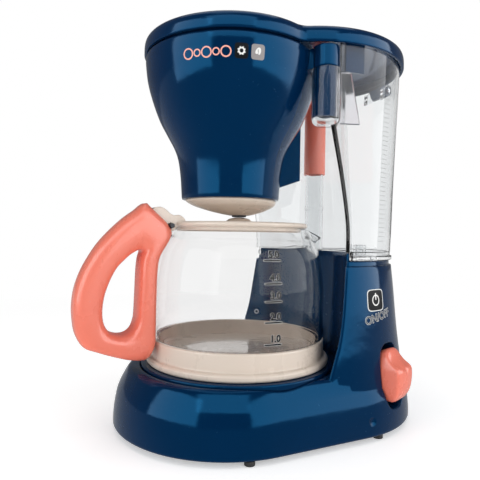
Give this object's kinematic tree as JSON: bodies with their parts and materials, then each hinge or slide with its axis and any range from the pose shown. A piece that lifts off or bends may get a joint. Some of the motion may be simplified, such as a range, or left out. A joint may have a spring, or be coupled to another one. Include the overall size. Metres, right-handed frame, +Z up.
{
  "type": "toy coffee maker",
  "caption": "Toy drip coffee maker with a navy base and head, clear water tank, hinged cover, rocker switch and a lift-out carafe with a coral handle.",
  "frame": {"origin": "middle of the outer box on the floor, under the feet", "axes": "+X from the carafe's handle to the tank, -Y is the front with the rocker switch, +Z up"},
  "size_m": [0.1932, 0.12, 0.2069],
  "materials": {
    "navy_gloss": "glossy moulded navy plastic",
    "coral_gloss": "glossy moulded coral plastic",
    "cream_gloss": "satin moulded cream plastic",
    "clear_plastic": "clear moulded plastic",
    "dark_matte": "dark matte plastic",
    "black_rubber": "soft black rubber",
    "hose_silicone": "soft milky silicone hose",
    "steel": "drawn steel",
    "battery_wrap": "plain wrapped cell"
  },
  "bodies": {
    "machine": {"base_shell": "navy_gloss", "warming_plate": "navy_gloss", "bottom_plate": "dark_matte", "battery_box": "dark_matte", "battery_front": "battery_wrap", "battery_rear": "battery_wrap", "foot_front_near": "black_rubber", "foot_front_far": "black_rubber", "foot_rear_near": "black_rubber", "foot_rear_far": "black_rubber", "column_screw": "steel", "switch_frame": "dark_matte", "rocker_axle": "steel", "pump_motor": "steel", "pump_housing": "dark_matte", "inlet_hose": "hose_silicone", "outlet_hose": "hose_silicone", "tank_shell": "clear_plastic", "riser_tube": "clear_plastic", "riser_sleeve": "coral_gloss", "head_shell": "navy_gloss", "drip_funnel": "cream_gloss", "hinge_pin": "steel"},
    "rocker": {"rocker_button": "coral_gloss"},
    "cover": {"top_cover": "navy_gloss"},
    "carafe": {"carafe_cup": "cream_gloss", "carafe_jug": "clear_plastic", "carafe_handle": "coral_gloss", "carafe_lid": "cream_gloss", "lid_pin": "steel"},
    "valve": {"drip_valve": "dark_matte"},
    "door": {"battery_door": "dark_matte"},
    "rotor": {"pump_rotor": "cream_gloss"}
  },
  "joints": [
    {"name": "rocker_tilt", "type": "hinge", "parent": "machine", "child": "rocker", "pos_m": [0.05395, -0.04467, 0.02849], "axis": [0.9272, 0.3746, 0], "range_deg": [0, 14]},
    {"name": "cover_hinge", "type": "hinge", "parent": "machine", "child": "cover", "pos_m": [0.0934, 0, 0.194], "axis": [0, 1, 0], "range_deg": [0, 95]},
    {"name": "carafe_slide", "type": "slide", "parent": "machine", "child": "carafe", "axis": [-1, 0, 0], "range_m": [0, 0.13]},
    {"name": "drip_valve_lift", "type": "slide", "parent": "machine", "child": "valve", "axis": [0, 0, 1], "range_m": [0, 0.002], "stiffness_N_per_m": 100, "springref_m": -0.002},
    {"name": "battery_door_off", "type": "slide", "parent": "machine", "child": "door", "axis": [0, 0, -1], "range_m": [0, 0.03]},
    {"name": "pump_spin", "type": "hinge", "parent": "machine", "child": "rotor", "pos_m": [0.0699, 0, 0.04], "axis": [0, 0, 1], "continuous": true}
  ]
}
